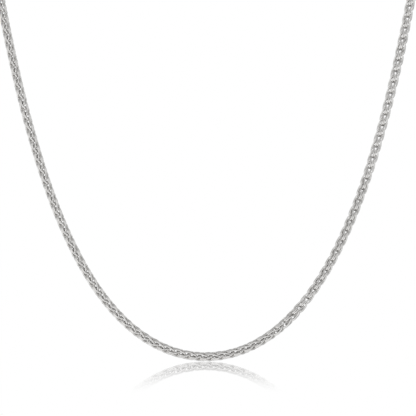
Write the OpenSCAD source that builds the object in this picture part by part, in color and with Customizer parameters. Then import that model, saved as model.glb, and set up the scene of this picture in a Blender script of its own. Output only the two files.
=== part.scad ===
// Foxtail chain necklace, worn form: a closed loop that hangs from the nape of a neck.
// +Z is up and the front of the wearer is -Y. The origin is the middle of the clasp, at the nape.

/* [Chain] */
// Width across the chain, over its links
chain_w = 2.6; // [2:0.1:4]
// Flat sides of the swept form that stands for the links
chain_sides = 8; // [8:2:12]

/* [Front drop] */
// Height of the hanging front, from its lowest point to where the strands turn to the neck
drop_h = 97; // [60:1:130]
// Half width over which the lowest bend turns steep
bend_w = 20.7; // [15:0.1:30]
// Height that sets how tightly the lowest bend turns
bend_h = 15.85; // [12:0.05:25]

/* [Round the neck] */
// Depth from the front of the chain to the nape
neck_depth = 106; // [80:1:130]
// Height of the nape above the place where the front strands turn back
nape_rise = 30; // [15:1:45]
// How far each front strand keeps its own direction before it curves back
front_reach = 58; // [40:1:75]
// How far each side runs in line with the clasp before it curves forward
nape_reach = 62; // [45:1:75]

/* [Clasp] */
// Length of the barrel
clasp_l = 11; // [9:0.5:16]
// Diameter of the barrel
clasp_d = 4; // [3.8:0.1:6]
// Depth of the cup at each end that takes the chain
cup_depth = 2; // [1:0.1:3]
// Clearance between the chain and the wall of its cup
cup_clearance = 0.1; // [0.05:0.05:0.3]
// Radius of the rounded shoulder at each end of the barrel
shoulder_r = 0.5; // [0.3:0.1:0.8]
// Width and depth of the fine groove where the two halves screw together
groove = 0.2; // [0.1:0.05:0.3]

/* [Hidden] */
$fn = 64;

// Spans of the swept form along half of the loop
drop_spans = 19;
side_spans = 19;
// Above 1, this sets the sections closer at the lowest bend than up the strands
bend_crowding = 1.15;

cup_floor_x = clasp_l/2 - cup_depth;
// The chain runs straight for this far outside its cup
straight_out = 1;
side_end = [clasp_l/2 + straight_out, 0, 0];

// The front hangs in a plane, as a stretched hanging curve. Its steepness t runs from 0 at the
// lowest point, and the curve is x = bend_w asinh(t), z = bend_h (sqrt(1 + t^2) - 1).
steep_end = sqrt(pow(drop_h/bend_h + 1, 2) - 1);
function asinh(t) = ln(t + sqrt(1 + t*t));
function drop_point(t) = [
    bend_w*asinh(t),
    -neck_depth,
    bend_h*(sqrt(1 + t*t) - 1) - drop_h - nape_rise];

// Each side goes on in the strand's own direction and comes round the neck to the clasp, as one
// cubic curve.
side_start = drop_point(steep_end);
start_dir = unit([bend_w, 0, bend_h*steep_end]);
side_ctrl = [
    side_start,
    side_start + front_reach*start_dir,
    side_end + [nape_reach, 0, 0],
    side_end];
function cubic(c, u) =
    pow(1 - u, 3)*c[0] + 3*pow(1 - u, 2)*u*c[1] + 3*(1 - u)*u*u*c[2] + u*u*u*c[3];
// Sections crowd a little towards both ends of a side, where it turns most
function eased(u) = (u + (1 - cos(180*u))/2)/2;

half_route = concat(
    [for (i = [0:drop_spans]) drop_point(steep_end*pow(i/drop_spans, bend_crowding))],
    [for (i = [1:side_spans]) cubic(side_ctrl, eased(i/side_spans))],
    [[cup_floor_x, 0, 0]]);
last = len(half_route) - 1;
function mirrored(p) = [-p[0], p[1], p[2]];
route = concat([for (i = [last:-1:1]) mirrored(half_route[i])], half_route);

// The middle of the loop, which the sections of the swept form are turned away from
loop_middle = [0, -neck_depth/2, -nape_rise];

function unit(v) = v/norm(v);
function direction(path, i) = unit(path[min(i + 1, len(path) - 1)] - path[max(i - 1, 0)]);
// Corner k of the section at point i
function corner(path, i, k) =
    let (
        along = direction(path, i),
        side = unit(cross(along, path[i] - loop_middle)),
        out = cross(side, along),
        a = 360*k/chain_sides)
    path[i] + chain_w/2*(cos(a)*out + sin(a)*side);

module swept(path, sides) {
    rings = len(path);
    points = [for (i = [0:rings - 1]) for (k = [0:sides - 1]) corner(path, i, k)];
    walls = [
        for (i = [0:rings - 2])
            for (k = [0:sides - 1])
                let (
                    a = i*sides + k,
                    b = i*sides + (k + 1)%sides)
                for (f = [[a, b, b + sides], [a, b + sides, a + sides]]) f];
    start_face = [for (k = [sides - 1:-1:0]) k];
    end_face = [for (k = [0:sides - 1]) (rings - 1)*sides + k];
    polyhedron(points, concat(walls, [start_face, end_face]));
}

// The whole chain, its ends standing on the floors of the clasp's cups
module chain() {
    color("silver") swept(route, chain_sides);
}

// Half section of the barrel, from its axis out, with rounded shoulders
module barrel_section() {
    r = clasp_d/2;
    l = clasp_l/2;
    translate([0, -l]) square([r - shoulder_r, clasp_l]);
    translate([0, shoulder_r - l]) square([r, clasp_l - 2*shoulder_r]);
    for (y = [shoulder_r - l, l - shoulder_r])
        translate([r - shoulder_r, y]) circle(shoulder_r);
}

// A plain barrel along X with a cup in each end
module clasp() {
    cup_r = chain_w/2 + cup_clearance;
    color("lightgray") rotate([0, 90, 0]) difference() {
        rotate_extrude() barrel_section();
        for (side = [-1, 1])
            translate([0, 0, side*(cup_floor_x + cup_depth)])
                cylinder(h = 2*cup_depth, r = cup_r, center = true);
        rotate_extrude()
            translate([clasp_d/2, 0]) square([2*groove, groove], center = true);
    }
}

chain();
clasp();
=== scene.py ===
import math
import random
import bpy
import numpy as np
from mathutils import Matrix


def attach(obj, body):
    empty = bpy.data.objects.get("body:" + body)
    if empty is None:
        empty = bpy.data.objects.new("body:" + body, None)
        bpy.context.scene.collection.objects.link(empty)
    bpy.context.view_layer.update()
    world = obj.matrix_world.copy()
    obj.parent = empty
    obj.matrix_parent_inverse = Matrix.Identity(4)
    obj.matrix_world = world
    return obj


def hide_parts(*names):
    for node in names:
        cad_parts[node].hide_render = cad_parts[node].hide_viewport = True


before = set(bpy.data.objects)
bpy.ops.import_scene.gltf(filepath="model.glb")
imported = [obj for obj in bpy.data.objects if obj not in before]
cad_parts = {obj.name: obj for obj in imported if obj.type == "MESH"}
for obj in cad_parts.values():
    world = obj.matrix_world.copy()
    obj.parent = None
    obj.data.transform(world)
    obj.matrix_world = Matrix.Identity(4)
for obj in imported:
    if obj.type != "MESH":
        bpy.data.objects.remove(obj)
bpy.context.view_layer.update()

MM = 0.001

# Route of the loop, in millimetres, as the part's own source has it
DROP_H = 97.0           # height of the hanging front
BEND_W = 20.7           # half width over which the lowest bend turns steep
BEND_H = 15.85          # height that sets how tightly it turns
NECK_DEPTH = 106.0      # front of the chain to the nape
NAPE_RISE = 30.0        # nape above the place where the strands turn back
FRONT_REACH = 58.0      # the strands keep their direction for about this far
NAPE_REACH = 62.0       # the sides run in line with the clasp for about this far
CLASP_L = 11.0          # length of the clasp
CUP_DEPTH = 2.0         # depth of the cups at its ends
STRAIGHT_OUT = 1.0      # the chain leaves its cup straight for this far
LOWEST = -DROP_H - NAPE_RISE
ROUTE_STEP = 0.05       # from one point of the route to the next
CURVE_POINTS = 3000     # points that the drop and the side are each worked out from

# Wire of a link, in millimetres
WIRE = 0.40             # wire diameter
ADVANCE = 1.479         # from one link to the next along the chain
WIRE_SIDES = 10         # the mesh has this many flat sides round the wire
LINK_POINTS = 56        # and this many rings of points along it
QUARTER_POINTS = 60     # points that a fold and a leg are each worked out from
CLOSE_POINTS = 448      # points along the wire where its length is measured

# Shape of a link, in millimetres
LEG_OUT = 1.04          # legs, from the chain's axis
LEG_GAP = 0.21          # half the distance between the middles of a leg's two strands
BASE_DIP = 0.13         # how far the middle of the base lies behind the link's place on the chain
FOLD_TOP = 0.85         # where the folded base has turned into the legs
FOLD_SQUARE = 3.2       # shape of that fold, 2 for an ellipse and more for a squarer one
EYE_START = 1.40        # where the two strands part
EYE_WIDEST = 2.85       # where they are furthest apart
EYE_HALF = 0.62         # half the width of an eye, between its strands' middles
EYE_SQUARE = 2.5        # shape of its end, as for the fold
TIP_ALONG = 3.34        # where an eye ends
TIP_OUT = 0.29          # tip of an eye, from the chain's axis
LEAN_IN = 3.0           # power that sets how late a leg turns in towards that axis

# Pull of its neighbours, which has bent every link a little askew
SKEW = 0.065            # how far a strand is moved out, for each millimetre across
EYE_LEAN = 0.11         # how far a strand of an eye is moved ahead, for each millimetre across
EYE_LEAN_RISE = 4.0     # how fast that comes in with the distance from the axis, per millimetre
SWIRL = -5.0            # turn of the link away from the direction in which the chain leans, degrees

# Lean of every link along the chain, for each millimetre from the axis
LEAN_OUT = 0.27         # out towards one of its eyes
LEAN_ACROSS = 0.285     # across that

# How far the chain is turned about its own axis
ROLL = [
    # mm past the lowest point, degrees
    (10.0, -44.0),
    (42.0, 18.0),
    (90.0, 4.0),
]
WANDER = [
    # slow waves of that turn: degrees either way, mm from one wave to the next, phase in radians
    (3.0, 27.0, 0.0),
    (2.1, 27.0 / 1.7, 1.0),
]
UNEVEN = 1.5            # each link's own turn, degrees either way
UNEVEN_SEED = 7

# Pieces that the links are joined into, along the chain
CHAIN_PIECES = ["links_left_neck", "links_left_front", "links_right_front", "links_right_neck"]

# Silver, with painted shade near the chain's axis
SILVER = (0.92, 0.91, 0.895, 1)
# painted shade: a darker silver that stands in for the shade deep between the wires, near the chain's
# axis
SHADE_PAINTED_SILVER = (0.50, 0.49, 0.48, 1)
FULL_SHADE_WITHIN = 0.35    # wire this near to the chain's axis has the full painted shade, mm
NO_SHADE_BEYOND = 0.75      # and from here out it has the silver's own, mm
CHAIN_ROUGHNESS = 0.10
CLASP_ROUGHNESS = 0.20
SMOOTHER = 0.05         # the marks of polishing make it this much smoother in places
ROUGHER = 0.07          # and this much rougher in others
MARKS_SCALE = 900.0
MARKS_DETAIL = 4.0

# The photograph's frame at the plane of the front drop, in millimetres
PHOTO_PX = 416          # pixels on each side of the picture
MM_PER_PX = 0.2655
FRAME_X = 0.61          # middle of the picture, right of the chain's middle
FRAME_ABOVE = 39.47     # middle of the picture, above the lowest centreline
CAMERA_AWAY = 1000.0    # camera in front of the front drop
SENSOR_W = 36.0         # the lens goes with it
CLIP_NEAR = 50.0
CLIP_FAR = 20000.0

# The white floor, in millimetres
FLOOR_HALF = 3000.0     # half its width
FLOOR_GAP = 0.05        # under the chain's lowest point
MIRROR_SHARE = 0.58     # how much of its light is a mirror image, right under the front drop
MIRROR_REACH = 180.0    # distance before and behind the drop over which that fades away
MIRROR_ROUGHNESS = 0.02

# What the metal mirrors: an even room with soft panels added to it, and a white sweep behind
WHITE = (1, 1, 1, 1)
ROOM_LEVEL = 0.36
PANELS = [
    # degrees from the camera to the picture's right, degrees up, half width, level
    (10, -48, 42, 0.48),
    (0, 0, 26, 0.30),
    (-66, -26, 34, 0.52),
    (84, 28, 30, 0.50),
    (-140, 20, 36, 0.25),
]
PANEL_FADE = 1.5        # a panel has faded away at this many times its half width
SWEEP_EDGE = 0.93       # cosine of the angle from straight behind at which the sweep begins
SWEEP_FULL = 0.97       # and of the angle at which it is full


def places_along(points):
    """How far along it each point of a line lies."""
    steps = np.linalg.norm(np.diff(points, axis=0), axis=1)
    return np.concatenate([[0], np.cumsum(steps)])


def values_at(places, arc, values):
    """Points or directions at these places along a line, from those that it has at the places arc."""
    return np.stack([np.interp(places, arc, values[:, i]) for i in range(3)], 1)


def smooth_step(value, start, end):
    """Goes smoothly from 0 to 1 while the value goes from start to end."""
    f = np.clip((value - start) / (end - start), 0, 1)
    return f * f * (3 - 2 * f)


def squared(vector, along):
    """Unit vector at right angles to a direction, as near to this one as can be."""
    v = vector - along * (vector @ along)
    return v / np.linalg.norm(v)


def loop_route():
    """Points of the whole centreline from the left cup, down the left strand and up the right
    one to the right cup, evenly spaced, with how far along each one is."""
    steep_end = math.sqrt((DROP_H / BEND_H + 1) ** 2 - 1)
    t = np.linspace(0, steep_end, CURVE_POINTS)
    rise = BEND_H * (np.sqrt(1 + t * t) - 1)
    drop = np.stack([BEND_W * np.arcsinh(t), np.full_like(t, -NECK_DEPTH), rise + LOWEST], 1)
    start_dir = np.array([BEND_W, 0, BEND_H * steep_end])
    start_dir /= np.linalg.norm(start_dir)
    start = drop[-1]
    after_start = start + FRONT_REACH * start_dir
    end = np.array([CLASP_L / 2 + STRAIGHT_OUT, 0, 0])
    before_end = end + [NAPE_REACH, 0, 0]
    u = np.linspace(0, 1, CURVE_POINTS)[1:, None]
    v = 1 - u
    side = v ** 3 * start + 3 * v ** 2 * u * after_start + 3 * v * u * u * before_end + u ** 3 * end
    cup_floor = np.array([[CLASP_L / 2 - CUP_DEPTH, 0, 0]])
    half = np.vstack([drop, side, cup_floor])
    whole = np.vstack([(half * [-1, 1, 1])[:0:-1], half])
    arc = places_along(whole)
    even = np.linspace(0, arc[-1], int(arc[-1] / ROUTE_STEP) + 1)
    return values_at(even, arc, whole), even


def untwisted_frame(route, arc, middle):
    """Unit vectors at each point of the route, to the front and to the loop's outer side, carried
    along without twist from the middle, where the front is -Y."""
    along = np.gradient(route, arc, axis=0)
    along /= np.linalg.norm(along, axis=1, keepdims=True)
    front = np.zeros_like(route)
    front[middle] = (0, -1, 0)
    for i in range(middle + 1, len(route)):
        front[i] = squared(front[i - 1], along[i])
    for i in range(middle - 1, -1, -1):
        front[i] = squared(front[i + 1], along[i])
    return front, np.cross(along, front)


def link_quarter():
    """Close points (out, half_gap, along) from the middle of a link's base to the tip of one eye."""
    a = np.linspace(0, math.pi / 2, QUARTER_POINTS)
    fold_out = LEG_OUT * np.sin(a) ** (2 / FOLD_SQUARE)
    fold_along = FOLD_TOP - (FOLD_TOP + BASE_DIP) * np.cos(a) ** (2 / FOLD_SQUARE)
    fold = np.stack([fold_out, np.full_like(a, LEG_GAP), fold_along], 1)
    up = np.sin(a)
    along = FOLD_TOP + (TIP_ALONG - FOLD_TOP) * up
    out = LEG_OUT - (LEG_OUT - TIP_OUT) * up ** LEAN_IN
    closing = np.clip((along - EYE_WIDEST) / (TIP_ALONG - EYE_WIDEST), 0, 1)
    gap = LEG_GAP + (EYE_HALF - LEG_GAP) * smooth_step(along, EYE_START, EYE_WIDEST)
    gap = gap * (1 - closing ** EYE_SQUARE) ** (1 / EYE_SQUARE)
    leg = np.stack([out, gap, along], 1)
    return np.vstack([fold, leg[1:]])


def link_curve(count):
    """The closed centreline of one link, as count evenly spaced points (out, across, along).

    A link is a ring of wire, pinched along its middle and folded into a U. Its base and legs are
    two strands side by side, and each leg ends in an eye that leans in over the chain's axis."""
    quarter = link_quarter()
    back_from_tip = quarter[-2::-1] * [1, -1, 1]
    to_other_tip = quarter[1:] * [-1, -1, 1]
    home = quarter[-2:0:-1] * [-1, 1, 1]
    ring = np.vstack([quarter, back_from_tip, to_other_tip, home, quarter[:1]])
    arc = places_along(ring)
    even = np.linspace(0, arc[-1], count, endpoint=False)
    out, across, along = values_at(even, arc, ring).T
    along = along + EYE_LEAN * across * np.tanh(EYE_LEAN_RISE * out)
    out = out + SKEW * across
    turn = math.radians(SWIRL)
    turned_out = out * math.cos(turn) - across * math.sin(turn)
    turned_across = out * math.sin(turn) + across * math.cos(turn)
    return np.stack([turned_out, turned_across, along], 1)


def wire_length():
    """Length of a link's wire as it lies in the chain, where the link leans."""
    points = link_curve(CLOSE_POINTS)
    points[:, 2] += LEAN_OUT * points[:, 0] + LEAN_ACROSS * points[:, 1]
    return np.linalg.norm(np.roll(points, -1, 0) - points, axis=1).sum()


def link_tube():
    """Vertices of one link's wire and its quads."""
    curve = link_curve(LINK_POINTS)
    along = np.roll(curve, -1, 0) - np.roll(curve, 1, 0)
    along /= np.linalg.norm(along, axis=1, keepdims=True)
    side = np.zeros_like(curve)
    side[0] = np.cross(along[0], (0, 0, 1))
    for i in range(1, LINK_POINTS):
        side[i] = squared(side[i - 1], along[i])
    last = squared(side[-1], along[0])
    twist = math.atan2(np.cross(last, side[0]) @ along[0], last @ side[0])
    over = np.cross(along, side)
    verts = []
    quads = []
    for i in range(LINK_POINTS):
        ring = i * WIRE_SIDES
        next_ring = (i + 1) % LINK_POINTS * WIRE_SIDES
        for k in range(WIRE_SIDES):
            a = 2 * math.pi * k / WIRE_SIDES + twist * i / LINK_POINTS
            verts.append(curve[i] + WIRE / 2 * (math.cos(a) * side[i] + math.sin(a) * over[i]))
            beside = (k + 1) % WIRE_SIDES
            quads.append((ring + k, ring + beside, next_ring + beside, next_ring + k))
    return np.array(verts), np.array(quads)


def roll_at(s):
    """Turn of the chain about its axis, in radians, at places s mm past the lowest point."""
    turn = ROLL[0][1]
    for (s0, turn0), (s1, turn1) in zip(ROLL, ROLL[1:]):
        turn = turn + (turn1 - turn0) * smooth_step(s, s0, s1)
    for height, length, phase in WANDER:
        turn = turn + height * np.sin(2 * math.pi * s / length + phase)
    return np.radians(turn)


def chain_links():
    """Every link's vertices in metres, the quads of one link, and how far in millimetres each
    vertex of a link is from the chain's axis."""
    route, arc = loop_route()
    middle = len(route) // 2
    front, outer = untwisted_frame(route, arc, middle)
    verts, quads = link_tube()
    turned = [(verts[:, 0], verts[:, 1]), (-verts[:, 1], verts[:, 0])]
    leaning = [verts[:, 2] + LEAN_OUT * x + LEAN_ACROSS * y for x, y in turned]
    low = min(a.min() for a in leaning)
    high = max(a.max() for a in leaning)
    room = arc[-1] - (high - low)
    count = int(room / ADVANCE) + 1
    start = (room - (count - 1) * ADVANCE) / 2 - low
    rng = random.Random(UNEVEN_SEED)
    links = []
    for k in range(count):
        x, y = turned[k % 2]
        s = start + k * ADVANCE + leaning[k % 2]
        turn = roll_at(s - arc[middle]) + math.radians(rng.uniform(-UNEVEN, UNEVEN))
        forward = (x * np.cos(turn) - y * np.sin(turn))[:, None]
        outward = (x * np.sin(turn) + y * np.cos(turn))[:, None]
        place, to_front, to_outer = (values_at(s, arc, v) for v in (route, front, outer))
        links.append((place + forward * to_front + outward * to_outer) * MM)
    triangles = 2 * len(quads) * count
    print("links", count, "wire %.2f mm each" % wire_length(), "triangles", triangles)
    return links, quads, np.hypot(verts[:, 0], verts[:, 1])


def joined_mesh(name, links, quads, from_axis):
    """One object that holds all these links."""
    points = np.vstack(links)
    faces = np.vstack([quads + i * len(from_axis) for i in range(len(links))])
    mesh = bpy.data.meshes.new(name)
    mesh.from_pydata(points.tolist(), [], faces.tolist())
    mesh.polygons.foreach_set("use_smooth", [True] * len(faces))
    distances = mesh.attributes.new("from_axis", "FLOAT", "POINT")
    distances.data.foreach_set("value", np.tile(from_axis, len(links)).astype(np.float32))
    mesh.update()
    obj = bpy.data.objects.new(name, mesh)
    bpy.context.scene.collection.objects.link(obj)
    return obj


def add_node(tree, kind, inputs):
    """A new shader node, with numbers, colours or other nodes' sockets on its inputs."""
    node = tree.nodes.new("ShaderNode" + kind)
    for key, value in inputs.items():
        if isinstance(value, bpy.types.NodeSocket):
            tree.links.new(value, node.inputs[key])
        else:
            node.inputs[key].default_value = value
    return node


def smooth_range(tree, value, start, end, low, high):
    """Socket that goes smoothly from low to high while the value goes from start to end."""
    limits = {"From Min": start, "From Max": end, "To Min": low, "To Max": high}
    node = add_node(tree, "MapRange", {"Value": value, **limits})
    node.interpolation_type = "SMOOTHSTEP"
    return node.outputs["Result"]


def worked_out(tree, operation, *values):
    """Socket with the result of a sum on these numbers or sockets."""
    node = add_node(tree, "Math", dict(enumerate(values)))
    node.operation = operation
    return node.outputs["Value"]


def for_camera(tree, seen, otherwise):
    """Shader socket that shows the camera one shader and every other ray another."""
    camera_ray = add_node(tree, "LightPath", {}).outputs["Is Camera Ray"]
    return add_node(tree, "MixShader", {"Fac": camera_ray, 1: otherwise, 2: seen}).outputs["Shader"]


def silver_material(name, roughness, painted_hollow_shade):
    """Silver with faint marks of polishing, and painted shade where it is asked for: darker near the
    chain's axis, to stand in for the shade deep between the wires.
    """
    mat = bpy.data.materials.new(name)
    mat.use_nodes = True
    tree = mat.node_tree
    bsdf = tree.nodes["Principled BSDF"]
    bsdf.inputs["Metallic"].default_value = 1.0
    place = add_node(tree, "TexCoord", {}).outputs["Object"]
    marks = {"Vector": place, "Scale": MARKS_SCALE, "Detail": MARKS_DETAIL}
    noise = add_node(tree, "TexNoise", marks).outputs["Fac"]
    limits = {"Value": noise, "To Min": roughness - SMOOTHER, "To Max": roughness + ROUGHER}
    tree.links.new(add_node(tree, "MapRange", limits).outputs["Result"], bsdf.inputs["Roughness"])
    # painted shade: the base colour darkens towards the chain's axis
    if painted_hollow_shade:
        distance = add_node(tree, "Attribute", {})
        distance.attribute_name = "from_axis"
        shade_ramp = add_node(tree, "ValToRGB", {"Fac": distance.outputs["Fac"]})
        shaded_stop, unshaded_stop = shade_ramp.color_ramp.elements
        shaded_stop.position = FULL_SHADE_WITHIN
        shaded_stop.color = SHADE_PAINTED_SILVER
        unshaded_stop.position = NO_SHADE_BEYOND
        unshaded_stop.color = SILVER
        tree.links.new(shade_ramp.outputs["Color"], bsdf.inputs["Base Color"])
    else:
        bsdf.inputs["Base Color"].default_value = SILVER
    return mat


def studio_world():
    """Even white for the camera. The metal mirrors an even grey room with soft panels of light, and
    a white sweep straight behind the chain."""
    world = bpy.data.worlds.new("studio")
    bpy.context.scene.world = world
    world.use_nodes = True
    tree = world.node_tree
    tree.nodes.clear()
    direction = add_node(tree, "TexCoord", {}).outputs["Generated"]
    level = ROOM_LEVEL
    for right, up, half_width, strength in PANELS:
        a, e, w = (math.radians(v) for v in (right, up, half_width))
        panel = (math.sin(a) * math.cos(e), -math.cos(a) * math.cos(e), math.sin(e))
        towards = add_node(tree, "VectorMath", {0: direction, 1: panel})
        towards.operation = "DOT_PRODUCT"
        fade = math.cos(PANEL_FADE * w)
        glow = smooth_range(tree, towards.outputs["Value"], fade, 1.0, 0.0, strength)
        level = worked_out(tree, "ADD", glow, level)
    behind = add_node(tree, "SeparateXYZ", {"Vector": direction}).outputs["Y"]
    sweep = smooth_range(tree, behind, SWEEP_EDGE, SWEEP_FULL, 0.0, 1.0)
    room = add_node(tree, "Background", {"Color": worked_out(tree, "MAXIMUM", sweep, level)})
    seen = add_node(tree, "Background", {"Color": WHITE})
    shown = for_camera(tree, seen.outputs["Background"], room.outputs["Background"])
    add_node(tree, "OutputWorld", {"Surface": shown})


def floor_material():
    """White that only the camera sees, with a mirror image that fades away before and behind the
    front drop."""
    mat = bpy.data.materials.new("floor")
    mat.use_nodes = True
    tree = mat.node_tree
    tree.nodes.clear()
    place = add_node(tree, "TexCoord", {}).outputs["Object"]
    y = add_node(tree, "SeparateXYZ", {"Vector": place}).outputs["Y"]
    away = worked_out(tree, "ABSOLUTE", worked_out(tree, "ADD", y, NECK_DEPTH * MM))
    share = smooth_range(tree, away, 0.0, MIRROR_REACH * MM, MIRROR_SHARE, 0.0)
    plain = add_node(tree, "Emission", {"Color": WHITE}).outputs["Emission"]
    gloss = add_node(tree, "BsdfGlossy", {"Color": WHITE, "Roughness": MIRROR_ROUGHNESS}).outputs["BSDF"]
    seen = add_node(tree, "MixShader", {"Fac": share, 1: plain, 2: gloss}).outputs["Shader"]
    clear = add_node(tree, "BsdfTransparent", {}).outputs["BSDF"]
    add_node(tree, "OutputMaterial", {"Surface": for_camera(tree, seen, clear)})
    return mat


def white_floor(height):
    """A level floor at this height in metres."""
    half = FLOOR_HALF * MM
    corners = [(-half, -half, height), (half, -half, height), (half, half, height), (-half, half, height)]
    mesh = bpy.data.meshes.new("floor")
    mesh.from_pydata(corners, [], [(0, 1, 2, 3)])
    mesh.materials.append(floor_material())
    obj = bpy.data.objects.new("floor", mesh)
    bpy.context.scene.collection.objects.link(obj)


def photo_camera():
    """Level and square to the front drop, so far away that it shows almost without perspective."""
    data = bpy.data.cameras.new("camera")
    data.sensor_width = SENSOR_W
    data.lens = SENSOR_W * CAMERA_AWAY / (PHOTO_PX * MM_PER_PX)
    data.clip_start = CLIP_NEAR * MM
    data.clip_end = CLIP_FAR * MM
    obj = bpy.data.objects.new("camera", data)
    obj.location = (FRAME_X * MM, (-NECK_DEPTH - CAMERA_AWAY) * MM, (LOWEST + FRAME_ABOVE) * MM)
    obj.rotation_euler = (math.radians(90), 0, 0)
    bpy.context.scene.collection.objects.link(obj)
    bpy.context.scene.camera = obj


def build_chain():
    """The chain as its real links. Returns the height of its lowest point in metres."""
    links, quads, from_axis = chain_links()
    # the chain's silver carries the painted shade near its axis
    silver = silver_material("silver", CHAIN_ROUGHNESS, painted_hollow_shade=True)
    share = math.ceil(len(links) / len(CHAIN_PIECES))
    for i, name in enumerate(CHAIN_PIECES):
        piece = joined_mesh(name, links[i * share:(i + 1) * share], quads, from_axis)
        piece.data.materials.append(silver)
        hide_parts("chain")
        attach(piece, "root")
    return min(float(points[:, 2].min()) for points in links)


def dress_clasp():
    """The clasp in plain polished silver."""
    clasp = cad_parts["clasp"]
    clasp.data.materials.clear()
    clasp.data.materials.append(silver_material("clasp_silver", CLASP_ROUGHNESS, painted_hollow_shade=False))


photo_camera()
bpy.context.scene.view_settings.view_transform = "Standard"
studio_world()
lowest_z = build_chain()
dress_clasp()
white_floor(lowest_z - FLOOR_GAP * MM)
